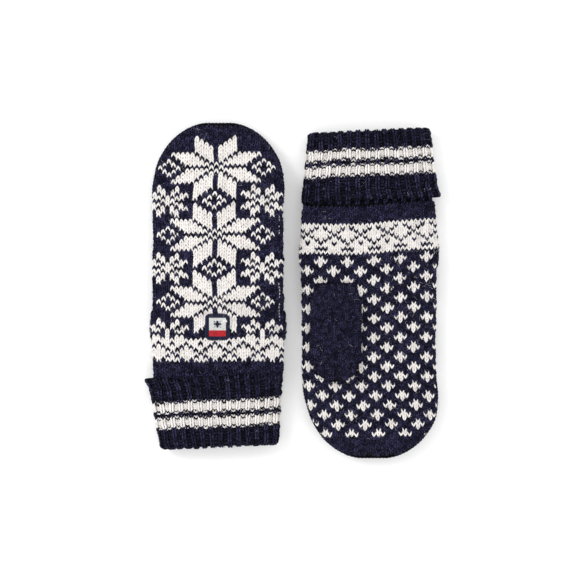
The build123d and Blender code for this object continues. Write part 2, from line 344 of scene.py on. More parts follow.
# ---- Places and surfaces ----
class Mitten:
    """Places of one mitten, read from the frame and kept in millimetres."""

    def __init__(self, side):
        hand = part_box(f"{side}_hand_shell")
        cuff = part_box(f"{side}_turned_cuff")
        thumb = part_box(f"{side}_thumb_shell")
        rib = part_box(f"{side}_wrist_rib")
        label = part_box(f"{side}_label")
        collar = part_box(f"{side}_thumb_collar")
        flat_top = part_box("right_hand_shell")[1].z
        self.side = side
        self.palm_up = side == "right"
        self.turn = -1.0 if self.palm_up else 1.0
        self.centre = (cuff[0].x + cuff[1].x) / 2
        self.fold = cuff[1].y if self.palm_up else cuff[0].y
        self.hand_y = self.along(hand)
        self.length = self.hand_y[1]
        self.width = (hand[1].x - hand[0].x) / MM
        self.depth = flat_top / MM
        self.rise = (hand[1].z - flat_top) / MM
        self.cuff_length = self.along(cuff)[1]
        self.cuff_width = (cuff[1].x - cuff[0].x) / MM
        self.cuff_depth = cuff[1].z / MM
        self.rib_y = self.along(rib)
        self.rib_width = (rib[1].x - rib[0].x) / MM
        self.rib_z = (rib[0].z / MM, rib[1].z / MM)
        self.thumb_y = self.along(thumb)
        self.thumb_x = abs((thumb[0].x + thumb[1].x) / 2 - self.centre) / MM
        self.thumb_width = (thumb[1].x - thumb[0].x) / MM
        self.thumb_z = (thumb[0].z / MM, thumb[1].z / MM)
        low_y, high_y = self.along(collar)
        collar_z = collar[0].z if self.palm_up else collar[1].z
        self.collar = (self.thumb_x, (low_y + high_y) / 2, (high_y - low_y) / 2, collar_z / MM)
        self.label_x = self.turn * ((label[0].x + label[1].x) / 2 - self.centre) / MM
        self.label_y = sum(self.along(label)) / 2
        self.label_size = ((label[1].x - label[0].x) / MM, (label[1].y - label[0].y) / MM)

    def along(self, box):
        """Distances from the fold of a box's two ends, nearest first."""
        return sorted(abs(corner.y - self.fold) / MM for corner in box)

    def to_frame(self, local):
        """From the mitten's own frame to the frame's metres."""
        out = np.empty_like(local)
        out[..., 0] = self.centre + self.turn * local[..., 0] * MM
        out[..., 1] = self.fold + self.turn * local[..., 1] * MM
        out[..., 2] = local[..., 2] * MM
        return out

    def lift(self, x, y):
        """Height of the left-hand mitten over the thumb that it lies on."""
        return self.rise * smooth(x, *RISE_X) * (smooth(y, *RISE_Y) - smooth(y, *FALL_Y))

    def thumb_bend(self):
        start, _ = self.thumb_y
        ends = np.array([[self.thumb_x, start, 0.0], [self.thumb_x, start + THUMB_BEND, 0.0]])
        low, high = self.to_frame(ends)
        return f"{self.side}_thumb_root", f"{self.side}_thumb", tuple(low), tuple(high)


class Tube:
    """A flattened tube. s runs across it from the middle of one face, v along it.

    section(v) gives y, the middle in x, half width, lowest and highest z. outward is 1
    where s, v and the outer normal make a right-handed frame, and -1 where they don't.
    """

    V_STEP = 0.4
    S_STEP = 0.5
    RING = 720

    def __init__(self, mitten, v_range, section, top, outward, lifted=False, shear=0.0):
        self.mitten = mitten
        self.outward = outward
        count = int((v_range[1] - v_range[0]) / self.V_STEP) + 2
        self.v = np.linspace(v_range[0], v_range[1], count)
        y, x_middle, half_width, low, high = section(self.v)
        angle = np.linspace(-math.pi, math.pi, self.RING + 1)[None, :]
        power = 2.0 / SECTION_POWER
        sine = np.sign(np.sin(angle)) * np.abs(np.sin(angle)) ** power
        cosine = np.sign(np.cos(angle)) * np.abs(np.cos(angle)) ** power
        x = half_width[:, None] * sine
        z = ((low + high) / 2)[:, None] + (1 if top else -1) * ((high - low) / 2)[:, None] * cosine
        steps = np.hypot(np.diff(x, axis=1), np.diff(z, axis=1))
        arc = np.concatenate([np.zeros((count, 1)), np.cumsum(steps, axis=1)], axis=1)
        arc -= arc[:, self.RING // 2, None]
        x = x + np.broadcast_to(x_middle, y.shape)[:, None]
        y = np.broadcast_to(y[:, None], x.shape) + shear * x
        if lifted:
            z = z + mitten.lift(x, y)
        self.half = arc[:, -1] / 2
        reach = self.half.max() * 2
        self.s = np.linspace(-reach, reach, int(2 * reach / self.S_STEP) + 2)
        layers = []
        for values in (x, y, z):
            layers.append(np.stack([np.interp(self.s, arc[k], values[k]) for k in range(count)]))
        self.points = np.stack(layers, axis=-1)
        by_v = np.gradient(self.points, self.v, axis=0)
        by_s = np.gradient(self.points, self.s, axis=1)
        by_v /= np.linalg.norm(by_v, axis=-1, keepdims=True) + 1e-9
        by_s /= np.linalg.norm(by_s, axis=-1, keepdims=True) + 1e-9
        normal = np.cross(by_s, by_v) * outward
        self.normal = normal / (np.linalg.norm(normal, axis=-1, keepdims=True) + 1e-9)

    def half_at(self, v):
        return np.interp(v, self.v, self.half)

    def at(self, s, v):
        """Points and outer normals at arrays of s and v."""
        fv = np.clip((v - self.v[0]) / (self.v[1] - self.v[0]), 0, len(self.v) - 1.001)
        fs = np.clip((s - self.s[0]) / (self.s[1] - self.s[0]), 0, len(self.s) - 1.001)
        i = fv.astype(int)
        j = fs.astype(int)
        wv = (fv - i)[..., None]
        ws = (fs - j)[..., None]
        found = []
        for table in (self.points, self.normal):
            low = table[i, j] * (1 - ws) + table[i, j + 1] * ws
            high = table[i + 1, j] * (1 - ws) + table[i + 1, j + 1] * ws
            found.append(low * (1 - wv) + high * wv)
        found[1] /= np.linalg.norm(found[1], axis=-1, keepdims=True) + 1e-9
        return found

    def place(self, across, along, out):
        """Points in the frame's metres, out from the surface but never through the table."""
        base, normal = self.at(across, along)
        verts = base + normal * out[..., None]
        verts[..., 2] = np.maximum(verts[..., 2], 0.05)
        return self.mitten.to_frame(verts)


# ---- Mesh building ----
def make_object(name, verts, loops, starts, uvs, values, materials, face_material=None):
    """One mesh piece from flat arrays."""
    mesh = bpy.data.meshes.new(name)
    mesh.vertices.add(len(verts))
    mesh.vertices.foreach_set("co", verts.astype(np.float32).ravel())
    mesh.loops.add(len(loops))
    mesh.loops.foreach_set("vertex_index", loops.astype(np.int32))
    mesh.polygons.add(len(starts))
    mesh.polygons.foreach_set("loop_start", starts.astype(np.int32))
    for layer, places in uvs.items():
        uv = mesh.uv_layers.new(name=layer)
        uv.data.foreach_set("uv", places.astype(np.float32).ravel())
    for title, value in values.items():
        attribute = mesh.attributes.new(title, "FLOAT", "POINT")
        attribute.data.foreach_set("value", value.astype(np.float32))
    for material in materials:
        mesh.materials.append(material)
    if face_material is not None:
        mesh.polygons.foreach_set("material_index", face_material.astype(np.int32))
    mesh.polygons.foreach_set("use_smooth", np.ones(len(starts), bool))
    mesh.update(calc_edges=True)
    piece = bpy.data.objects.new(name, mesh)
    bpy.context.scene.collection.objects.link(piece)
    return piece


class Template:
    """A closed tube along a short path in (across, along, out), ready to be copied."""

    def __init__(self, path, radius, sides, flatten=0.9):
        path = np.asarray(path, float)
        radius = np.broadcast_to(radius, len(path))
        steps = len(path) - 1
        tangent = np.gradient(path, axis=0)
        tangent /= np.linalg.norm(tangent, axis=1, keepdims=True)
        side = np.cross(tangent, [0.0, 0.0, 1.0])
        side /= np.linalg.norm(side, axis=1, keepdims=True)
        up = np.cross(side, tangent)
        angle = (np.arange(sides) * 2 * math.pi / sides)[None, :, None]
        ring = side[:, None] * np.cos(angle) + flatten * up[:, None] * np.sin(angle)
        self.points = (path[:, None] + radius[:, None, None] * ring).reshape(-1, 3)
        # crest is each point's height across the strand; the wool materials paint shade into the
        # colour where it is low.
        height = self.points[:, 2]
        self.crest = (height - height.min()) / (height.max() - height.min())
        quads = []
        uvs = []
        for k in range(steps):
            for j in range(sides):
                n = (j + 1) % sides
                here, there = k * sides, (k + 1) * sides
                quads.append((here + j, there + j, there + n, here + n))
                low, high = k / steps, (k + 1) / steps
                left, right = j / sides, (j + 1) / sides
                uvs.append(((low, left), (high, left), (high, right), (low, right)))
        self.quads = np.array(quads)
        self.uvs = np.array(uvs)
        first = list(range(sides))
        last = [steps * sides + j for j in reversed(range(sides))]
        self.caps = np.array([first, last])
        self.sides = sides


def copies(name, template, verts, shade, material, mirrored=False):
    """Joins placed copies of a template. verts is (copies, template points, 3)."""
    count, size = verts.shape[:2]
    offset = (np.arange(count) * size)[:, None, None]
    quads, quad_uv, caps = template.quads, template.uvs, template.caps
    if mirrored:
        quads, quad_uv, caps = quads[:, ::-1], quad_uv[:, ::-1], caps[:, ::-1]
    loops = np.concatenate([(quads[None] + offset).ravel(), (caps[None] + offset).ravel()])
    quad_loops = count * quads.size
    starts = np.concatenate(
        [np.arange(0, quad_loops, 4), np.arange(quad_loops, len(loops), template.sides)]
    )
    grid = math.ceil(math.sqrt(count))
    cell = np.stack([np.arange(count) % grid, np.arange(count) // grid], axis=1) / grid
    bake_quads = cell[:, None, None] + (0.04 + 0.92 * quad_uv)[None] / grid
    bake_caps = np.repeat(cell[:, None], caps.size, axis=1) + 0.5 / grid
    bake = np.concatenate([bake_quads.reshape(-1, 2), bake_caps.reshape(-1, 2)])
    yarn_quads = np.broadcast_to(quad_uv, (count, *quad_uv.shape)).reshape(-1, 2)
    yarn = np.concatenate([yarn_quads, np.zeros((caps.size * count, 2))])
    uvs = {"OFBake": bake, "yarn": yarn}
    points = verts.reshape(-1, 3)
    values = {"shade": np.repeat(shade, size), "crest": np.tile(template.crest, count)}
    return make_object(name, points, loops, starts, uvs, values, [material])


def stitch(width, height, yarn, depth=LOOP_DEPTH, lean=LOOP_LEAN, purl=False):
    """One stitch: up one leg, round the loop and down the other. purl shows its back."""
    t = np.linspace(0.0, 2 * math.pi, LOOP_STEPS + 1)
    x = width / (2 * math.pi) * (t + lean * np.sin(2 * t)) - width / 2
    face = -1 if purl else 1
    out = -face * depth * np.cos(2 * t)
    radius = yarn * width / 2 * (0.94 + 0.12 * np.sin(t) ** 2)
    path = np.stack([x, face * height * np.cos(t), out], axis=1)
    return Template(path, radius, LOOP_SIDES)


def fibre():
    """A loose hair that arches off the wool."""
    path = [(-0.5, 0.0, 0.0), (-0.15, 0.07, 0.2), (0.2, -0.05, 0.24), (0.5, 0.03, 0.05)]
    return Template(FIBRE * np.array(path), FIBRE_RADIUS, 3)


def skewed(s, v, skew):
    """How far towards the cuff a row has run at s."""
    return skew * np.maximum(-s, 0.0) * (1 - smooth(v, *SKEW_FADE))


def place_stitches(tube, template, s, v, rng, offset=0.0, width=None, skew=0.0):
    """Bends copies of a stitch on to a tube. With a width, columns narrow as the tube does."""
    points = template.points
    jitter = rng.normal(0.0, 1.0, (len(s), 1, 3))
    across = points[None, :, 0] + UNEVEN * jitter[..., 0]
    vv = v[:, None] + points[None, :, 1] * (1 + 0.07 * jitter[..., 1]) + UNEVEN * jitter[..., 2]
    out = points[None, :, 2] * (1 + 0.2 * jitter[..., 0]) + offset + UNEVEN * jitter[..., 2]
    ss = s[:, None] + across
    if width is not None:
        ss = ss * tube.half_at(vv) / width
    # Rows and columns never run quite straight.
    ss = ss + 0.3 * np.sin(vv / 8.0) + 0.15 * np.sin(vv / 3.1 + ss / 7.0)
    vv = vv + 0.4 * np.sin(ss / 13.0) + 0.2 * np.sin(ss / 5.1 + vv / 9.0) - skewed(ss, vv, skew)
    return tube.place(ss, vv, out)


def finish_piece(piece, body):
    """Gives a piece its body. A piece meant to bend between two bodies only has its placement baked
    into its mesh.
    """
    if isinstance(body, tuple):
        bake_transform(piece)
    else:
        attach(piece, body)
    return piece


def fuzz(name, tube, s, v, share, body, rng, material):
    """Loose fibres that stand off the stitches at s and v, share of them to a stitch."""
    count = int(len(s) * share)
    template = fibre()
    chosen = rng.integers(0, len(s), count)
    turn = rng.uniform(0.0, 2 * math.pi, (count, 1))
    size = rng.uniform(0.5, 1.4, (count, 1))
    x, y, z = template.points.T
    stray = rng.normal(0.0, FIBRE_STRAY, (2, count, 1))
    across = s[chosen, None] + stray[0] + size * (x * np.cos(turn) - y * np.sin(turn))
    along = v[chosen, None] + stray[1] + size * (x * np.sin(turn) + y * np.cos(turn))
    out = FIBRE_HEIGHT + size * z
    verts = tube.place(across, along, out)
    piece = copies(name, template, verts, rng.random(count), material, tube.outward < 0)
    return finish_piece(piece, body)


def knit(name, tube, size, s, v, cream, body, rng, loop=None, hairy=True, **placing):
    """A panel of stitches as pieces of each colour of yarn, with their loose fibres.

    size is a stitch's width and height. loop holds any other measures of it, and light, a factor on
    the navy stitches' crest that paints them darker in a valley: painted shade, where less light
    reaches.
    """
    measures = dict(loop or {})
    light = measures.pop("light", 1.0)
    mirrored = tube.outward < 0
    colours = (("navy", ~cream, NAVY, NAVY_FIBRE), ("cream", cream, CREAM, CREAM_FIBRE))
    for colour, mask, yarn, hair in colours:
        chosen = np.flatnonzero(mask)
        if not len(chosen):
            continue
        template = stitch(*size, YARN[colour], **measures)
        if colour == "navy":
            # Painted shade: navy stitches in a valley get a lower crest, so their colour is darker.
            template.crest *= light
        parts = math.ceil(len(chosen) / MAX_STITCHES)
        for part, index in enumerate(np.array_split(chosen, parts)):
            suffix = f"_{part + 1}" if parts > 1 else ""
            title = f"{name}_{colour}_yarn{suffix}"
            verts = place_stitches(tube, template, s[index], v[index], rng, **placing)
            piece = copies(title, template, verts, rng.random(len(index)), yarn, mirrored)
            finish_piece(piece, body)
        if hairy:
            title = f"{name}_{colour}_fuzz"
            fuzz(title, tube, s[chosen], v[chosen], FUZZ, body, rng, hair)
    if hairy:
        fuzz(f"{name}_lint", tube, s, v, LINT, body, rng, CREAM_FIBRE)


def plain(s, v):
    """Fabric with no cream in it."""
    return np.zeros(np.shape(s), bool)


def backing(name, tube, v_range, depth, cream_at, body, closed_end):
    """Smooth fabric behind the yarn, coloured like the stitches in front of it but darker: painted
    shade for the gaps between stitches.
    """
    materials = [NAVY_SHADED_BACKING, CREAM_SHADED_BACKING]
    piece = sheet(name, tube, v_range, depth, cream_at, closed_end, materials)
    return finish_piece(piece, body)


def sheet(name, tube, v_range, depth, cream_at, closed_end, materials):
    """A layer of cloth that follows a tube, depth under its surface."""
    rows = int((v_range[1] - v_range[0]) / BACKING_ROW)
    columns = BACKING_COLUMNS
    v = np.linspace(v_range[0], v_range[1], rows + 1)[:, None]
    f = (np.arange(columns) / columns * 4 - 2)[None, :]
    s = f * tube.half_at(v)
    v = np.broadcast_to(v, s.shape)
    base, normal = tube.at(s, v)
    verts = base - normal * depth
    verts[..., 2] = np.maximum(verts[..., 2], BACKING_LOWEST)
    verts = verts.reshape(-1, 3)
    index = np.arange((rows + 1) * columns).reshape(rows + 1, columns)
    here, there = index[:-1], index[1:]
    quads = np.stack([here, np.roll(here, -1, 1), np.roll(there, -1, 1), there], axis=-1)
    cell_y, cell_x = np.mgrid[0:rows, 0:columns]
    corners = ((0, 0), (1, 0), (1, 1), (0, 1))
    cells = []
    for i, j in corners:
        cells.append(np.stack([(cell_x + i) / columns, (cell_y + j) / (rows + 2)], axis=-1))
    uv = np.stack(cells, axis=2).reshape(-1, 4, 2)
    quads = quads.reshape(-1, 4)
    middle_s = s[:-1] + 2 * tube.half_at(v[:-1]) / columns
    middle_v = (v[:-1] + v[1:]) / 2
    cream = cream_at(middle_s, middle_v).reshape(-1).astype(int)
    if tube.outward < 0:
        quads = quads[:, ::-1]
        uv = uv[:, ::-1]
    loops = quads.ravel()
    uv = uv.reshape(-1, 2)
    starts = np.arange(0, len(loops), 4)
    if closed_end:
        ring = index[-1] if tube.outward > 0 else index[-1][::-1]
        starts = np.append(starts, len(loops))
        loops = np.concatenate([loops, ring])
        cream = np.append(cream, 0)
        angle = np.arange(columns) * 2 * math.pi / columns
        circle = np.stack([np.cos(angle), np.sin(angle)], axis=1) * 0.4 / (rows + 2)
        uv = np.concatenate([uv, circle + [0.5, 1 - 0.5 / (rows + 2)]])
    values = {"shade": np.full(len(verts), 0.5)}
    verts = tube.mitten.to_frame(verts)
    uvs = {"OFBake": uv, "yarn": uv}
    return make_object(name, verts, loops, starts, uvs, values, materials, cream)


# ---- Patterns ----
def star(a, b, arms, first, last):
    """Eight-armed star: in each quarter, one leaf either side of the diagonal."""
    leaf = (a >= 1) & (a <= arms) & (b >= a + first) & (b <= a + last)
    turned = (b >= 1) & (b <= arms) & (a >= b + first) & (a <= b + last)
    return leaf | turned


def back_pattern(c, r):
    """True where the back is cream.

    c counts columns from the centre line, r rows from the middle of the top star.
    """
    cream = np.zeros(np.broadcast(c, r).shape, bool)
    a = np.abs(c)
    side = np.abs(a - SIDE_STARS)
    for middle in STAR_ROWS:
        b = np.abs(r - middle)
        below = np.abs(r - middle - SIDE_STARS)
        cream |= (a + b == 1) | star(a, b, 4, 1, 5)
        cream |= side + b == 2
        small_stars = (side + below <= 1) | star(side, below, 2, 1, 2)
        if middle == STAR_ROWS[-1]:  # the band cuts these short
            small_stars &= (r < BAND_EDGE - 1) & ~((side == 1) & (r == BAND_EDGE - 2))
        else:
            cream |= a + below == 2
        cream |= small_stars
    cream |= (r == BAND_EDGE - 1) & np.isin(a, (7, 8, 10, 12, 13))
    cream |= r == BAND_EDGE
    half = REPEAT // 2
    u = np.abs((c + half) % REPEAT - half)
    q = r - BAND_EDGE - 1
    lattice = (q == u) | (REPEAT - q == u) | ((u == half) & (q == 0))
    cream |= (q >= 0) & (q < REPEAT) & ~lattice
    return cream


def palm_pattern(c, q, rows):
    """True where the palm is cream. q counts rows from the band's cuff side."""
    half = REPEAT // 2
    u = np.abs(c % REPEAT - half)
    band = (q >= 0) & (q < PALM_BAND_ROWS)
    lattice = (np.abs(q - half) == u) & (q >= 1) & (q <= REPEAT)
    lattice |= ((q == REPEAT) & (u == 0)) | ((q == PALM_BAND_ROWS - 2) & (u >= 2))
    cream = band & ~lattice
    starry = q < rows - PALM_PLAIN_ROWS
    for dc, dq in ((0, 0), (1, 0), (-1, 0), (0, 1), (0, -1)):
        k = q + dq - PALM_BAND_ROWS - 2
        column = (c + dc) % REPEAT
        centre = (k % half == 0) & (column == np.where(k // half % 2 == 0, 0, half))
        cream |= centre & (k >= 0) & starry
    return cream


# ---- Hand ----
def hand_section(mitten):
    wrist = mitten.hand_y[0]
    side = mitten.side
    reach = [mitten.length - distance for distance in TIP_LEAN_REACH]

    def section(y):
        grown = smooth(y, wrist, HAND_FULL)
        s = np.clip((y - (mitten.length - TIP_REACH)) / TIP_REACH, 0.0, 0.9999)
        band = smooth(y, wrist, wrist + 2 * WRIST_GROWS) - smooth(y, *BAND_BULGE_END)
        half_width = mitten.width / 2 - INSET - HAND_SLACK[side] + BAND_BULGE[side] * band
        half_width = half_width - WRIST_INSET * (1 - smooth(y, wrist, wrist + WRIST_GROWS))
        half_width = half_width + EDGE_WAVE * np.sin(y / 7.0) + EDGE_WAVE / 2 * np.sin(y / 2.9)
        half_width = TIP_FLAT + (half_width - TIP_FLAT) * (1 - s**TIP_POWER) ** (1 / TIP_POWER)
        x_middle = TIP_LEAN[side] * smooth(y, *reach)
        low = INSET + (1 - grown)
        high = mitten.depth - INSET - (1 - grown)
        half_depth = (high - low) / 2 * (1 - s**DEPTH_POWER) ** (1 / DEPTH_POWER)
        middle = (low + high) / 2
        return y, x_middle, half_width, middle - half_depth, middle + half_depth

    return section


def back_row_y(mitten, r):
    top = mitten.length - STAR_TOP_FROM_TIP
    wide = BACK_ROW * np.minimum(r, BAND_START_ROW)
    return top - wide - BAND_ROW * np.maximum(r - BAND_START_ROW, 0)


def back_row_at(mitten, y):
    down = mitten.length - STAR_TOP_FROM_TIP - y
    band = BACK_ROW * BAND_START_ROW
    return np.where(down <= band, down / BACK_ROW, BAND_START_ROW + (down - band) / BAND_ROW)


def palm_row_y(q):
    in_band = PALM_BAND_ROW * (np.minimum(q, PALM_BAND_ROWS - 0.5) + 0.5)
    return PALM_BAND_START + in_band + PALM_ROW * np.maximum(q - PALM_BAND_ROWS + 0.5, 0)


def panel_grid(tube, columns, row_v, rows, edge=0.35):
    """Stitch centres of one face, left out where the fingertips round off."""
    pitch = 2 * tube.half.max() / columns
    column = np.arange(columns)
    cc, rr = np.meshgrid(column, rows)
    s = (cc - (columns - 1) / 2) * pitch
    v = row_v(rr)
    keep = np.abs(s) <= tube.half_at(v) - edge * pitch
    keep &= (v < tube.v[-1] - 1.0) & (v > tube.v[0] + 1.0)
    return pitch, cc[keep], rr[keep], s[keep], v[keep]


def under_label(mitten, s, v):
    """True for stitches that would hide a label sewn to the underside."""
    width, height = mitten.label_size
    beside = np.abs(s - mitten.label_x) < width / 2 + 1
    return beside & (np.abs(v - mitten.label_y) < height / 2 + 1) & mitten.palm_up


def build_back(mitten, rng):
    top = not mitten.palm_up
    v_range = (mitten.hand_y[0] - 3.0, mitten.length - 0.4)
    tube = Tube(mitten, v_range, hand_section(mitten), top, 1 if top else -1, lifted=top)

    def row_v(r):
        return back_row_y(mitten, r)

    pitch, c, r, s, v = panel_grid(tube, BACK_COLUMNS, row_v, np.arange(-14, 66))
    shown = ~under_label(mitten, s, v)
    c, r, s, v = c[shown], r[shown], s[shown], v[shown]
    cream = back_pattern(c - BACK_CENTRE, r)
    body = f"{mitten.side}_hand"
    knit(f"{mitten.side}_back", tube, (pitch, BACK_ROW), s, v, cream, body, rng)
    build_dashes(mitten, tube, pitch, rng)
    build_label(mitten, tube, rng)

    def cream_at(s, v):
        inside = np.abs(s) < tube.half_at(v)
        column = np.round(s / pitch + (BACK_COLUMNS - 1) / 2) - BACK_CENTRE
        row = np.round(back_row_at(mitten, v))
        return inside & back_pattern(column, row)

    return tube, cream_at


def build_dashes(mitten, tube, pitch, rng):
    """Cream floats that show between two columns beside the pattern."""
    template = Template([(-0.1, -0.75, -0.2), (0.1, 0.0, 0.3), (0.0, 0.75, -0.2)], 0.3, 5)
    rows = np.concatenate([np.arange(*ends) for ends in DASH_ROWS]) + 0.5
    rows = rows[rng.random(len(rows)) < 0.8]
    s = np.full(len(rows), (DASH_COLUMN + BACK_CENTRE - (BACK_COLUMNS - 1) / 2) * pitch)
    verts = place_stitches(tube, template, s, back_row_y(mitten, rows), rng, offset=0.75)
    name = f"{mitten.side}_back_floats"
    piece = copies(name, template, verts, rng.random(len(rows)), CREAM, tube.outward < 0)
    finish_piece(piece, f"{mitten.side}_hand")


def build_palm(mitten, rng):
    top = mitten.palm_up
    v_range = (mitten.hand_y[0] - 3.0, mitten.length - 0.4)
    tube = Tube(mitten, v_range, hand_section(mitten), top, 1 if top else -1, lifted=not top)
    count = int((mitten.length - palm_row_y(0)) / PALM_ROW) + 1
    pitch, c, q, s, v = panel_grid(tube, PALM_COLUMNS, palm_row_y, np.arange(-6, count))
    cream = palm_pattern(c - PALM_CENTRE, q, count)
    body = f"{mitten.side}_hand"
    knit(f"{mitten.side}_palm", tube, (pitch, PALM_ROW), s, v, cream, body, rng, skew=PALM_SKEW)

    def cream_at(s, v):
        inside = np.abs(s) < tube.half_at(v)
        column = np.round(s / pitch + (PALM_COLUMNS - 1) / 2) - PALM_CENTRE
        along = v + skewed(s, v, PALM_SKEW) - PALM_BAND_START
        band = PALM_BAND_ROW * PALM_BAND_ROWS
        row = np.where(along < band, along / PALM_BAND_ROW, PALM_BAND_ROWS + (along - band) / PALM_ROW)
        return inside & palm_pattern(column, np.floor(row), count)

    return tube, cream_at


def build_tip_edge(mitten, tube, rng):
    """Chain of decreased stitches where back and palm meet round the fingertips."""
    start = mitten.length - TIP_REACH - 6.0
    angle = np.linspace(0.0, math.pi / 2, 400)
    y = start + (tube.v[-1] - start) * np.sin(angle)
    right, _ = tube.at(tube.half_at(y), y)
    left, _ = tube.at(-tube.half_at(y), y)
    path = np.concatenate([left, right[::-1]])
    steps = np.linalg.norm(np.diff(path, axis=0), axis=1)
    arc = np.concatenate([[0.0], np.cumsum(steps)])
    count = int(arc[-1] / 2.7)
    place = (np.arange(count) + 0.5) * arc[-1] / count
    template = stitch(5.0, 2.8, 0.42)
    across, along, out = template.points.T
    along = place[:, None] + along
    base = np.stack([np.interp(along, arc, path[:, k]) for k in range(3)], axis=-1)
    ahead = np.stack([np.interp(along + 0.6, arc, path[:, k]) for k in range(3)], axis=-1)
    tangent = ahead - base
    tangent /= np.linalg.norm(tangent, axis=-1, keepdims=True) + 1e-9
    up = np.array([0.0, 0.0, 1.0])
    outer = np.cross(tangent, up)
    outer /= np.linalg.norm(outer, axis=-1, keepdims=True) + 1e-9
    away = base[..., :2] - np.array([0.0, mitten.length - TIP_REACH])
    outer *= np.sign(np.sum(outer[..., :2] * away, axis=-1, keepdims=True))
    verts = base + up * across[:, None] + outer * (out[:, None] - 0.1)
    name = f"{mitten.side}_tip_edge_yarn"
    piece = copies(name, template, mitten.to_frame(verts), rng.random(count), NAVY)
    return finish_piece(piece, f"{mitten.side}_hand")


def label_colours(width, height):
    """Weave cells of the label: where they are, and which are navy, white and red."""
    across = int(width / CELL / 2)
    along = int(height / CELL / 2)
    j, i = np.mgrid[-along : along + 1, -across : across + 1]
    shape = np.abs(i / (across + 0.5)) ** LABEL_CORNER + np.abs(j / (along + 0.5)) ** LABEL_CORNER
    i, j = i[shape < 1], j[shape < 1]
    border = (np.abs(i) > across - LABEL_BORDER) | (np.abs(j) > along - LABEL_BORDER)
    red = ~border & (j < -along + LABEL_BORDER + LABEL_RED_ROWS)
    a, b = np.abs(i), np.abs(j - LABEL_RED_ROWS // 2)
    emblem = ((a <= 1) | (b <= 1) | (a == b)) & (np.maximum(a, b) <= EMBLEM_ARM) | (a + b <= 4)
    navy = border | (emblem & ~red)
    return i, j, navy, red


def build_label(mitten, tube, rng):
    """Woven patch with a plain border and a small star, overlocked to the knit."""
    width, height = mitten.label_size
    side = mitten.side
    raised = LABEL_RAISED[side]
    bump = [(-0.3, 0, -0.22), (-0.15, 0, 0.05), (0.15, 0, 0.05), (0.3, 0, -0.22)]
    template = Template(bump, 0.27, 5)
    i, j, navy, red = label_colours(width - 1.0, height - 1.0)
    x, y, z = template.points.T
    across = mitten.label_x + i[:, None] * CELL + x
    along = mitten.label_y + j[:, None] * CELL + y
    verts = tube.place(across, along, np.broadcast_to(raised + z, across.shape))
    colours = (
        ("navy", navy, LABEL_NAVY),
        ("white", ~(navy | red), LABEL_WHITE),
        ("red", red, LABEL_RED),
    )
    for colour, mask, material in colours:
        name = f"{side}_label_{colour}_weave"
        shade = rng.random(mask.sum())
        piece = copies(name, template, verts[mask], shade, material, tube.outward < 0)
        finish_piece(piece, f"{side}_hand")
    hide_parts(f"{side}_label")
    build_edging(mitten, tube, raised, rng)


def build_edging(mitten, tube, raised, rng):
    """Overlock threads round the label's edge, from its face down into the knit."""
    width, height = mitten.label_size
    fine = np.linspace(0.0, 2 * math.pi, 1200)
    x = width / 2 * np.sign(np.cos(fine)) * np.abs(np.cos(fine)) ** (2 / LABEL_CORNER)
    y = height / 2 * np.sign(np.sin(fine)) * np.abs(np.sin(fine)) ** (2 / LABEL_CORNER)
    arc = np.concatenate([[0.0], np.cumsum(np.hypot(np.diff(x), np.diff(y)))])
    count = int(arc[-1] / EDGING_STEP)
    place = np.arange(count) * arc[-1] / count
    cx, cy = np.interp(place, arc, x), np.interp(place, arc, y)
    tx = np.interp(place + 0.3, arc, x, period=arc[-1]) - cx
    ty = np.interp(place + 0.3, arc, y, period=arc[-1]) - cy
    size = np.hypot(tx, ty) + 1e-9
    tx, ty = (tx / size)[:, None], (ty / size)[:, None]
    thread = [(0.1, -1.5, 0.1), (0.0, -0.7, 0.22), (0.0, 0.0, 0.1), (-0.1, 0.45, -0.7)]
    template = Template(thread, 0.3, 5)
    px, py, pz = template.points.T
    across = mitten.label_x + cx[:, None] + tx * px + ty * py
    along = mitten.label_y + cy[:, None] + ty * px - tx * py
    verts = tube.place(across, along, np.broadcast_to(raised + pz, across.shape))
    name = f"{mitten.side}_label_edging"
    piece = copies(name, template, verts, rng.random(count), LABEL_NAVY, tube.outward < 0)
    finish_piece(piece, f"{mitten.side}_hand")
    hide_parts(f"{mitten.side}_label_stitching")


def rib_section(mitten):
    start, end = mitten.rib_y
    low, high = mitten.rib_z
    fold_x, edge_x = CUFF_SHIFT[mitten.side]

    def section(y):
        along = (y - start) / (end - start)
        half_width = mitten.rib_width / 2 - RIB_INSET - RIB_TAPER * (1 - along)
        x_middle = fold_x + (edge_x - fold_x) * along * (1 - smooth(along, 0.7, 1.0))
        return y, x_middle, half_width, low + INSET + 0 * y, high - INSET + 0 * y

    return section


def ribbing(name, tube, total, start, stripes, body, rng, hairy):
    """Knit columns that stand proud and purl columns that sink between them."""
    half = tube.half[0]
    pitch = 4 * half / RIB_COLUMNS
    rows = np.arange(int(total / RIB_ROW))
    columns = np.arange(RIB_COLUMNS)
    for kind, (parity, width, offset, loop) in RIBS.items():
        cc, rr = np.meshgrid(columns[columns % 2 == parity], rows)
        s = (cc.ravel() - (RIB_COLUMNS - 1) / 2) * pitch
        v = start + (rr.ravel() + 0.5) * RIB_ROW
        cream = np.zeros(len(v), bool)
        for low, high in stripes:
            cream |= (rr.ravel() >= low) & (rr.ravel() < high)
        size = (pitch * width, RIB_ROW)
        placing = {"offset": offset, "width": half}
        knit(f"{name}_{kind}", tube, size, s, v, cream, body, rng, loop, hairy, **placing)


def build_wrist_rib(mitten, rng):
    start, end = mitten.rib_y
    tube = Tube(mitten, (start, end + 2.0), rib_section(mitten), True, 1)
    name = f"{mitten.side}_wrist_rib"
    body = f"{mitten.side}_hand"
    ribbing(name, tube, end + 1.0 - start, start, (), body, rng, False)
    v_range = (start + 0.3, end + 1.5)
    fabric = backing(f"{name}_fabric", tube, v_range, RIB_BACKING, plain, body, False)
    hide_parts(name)


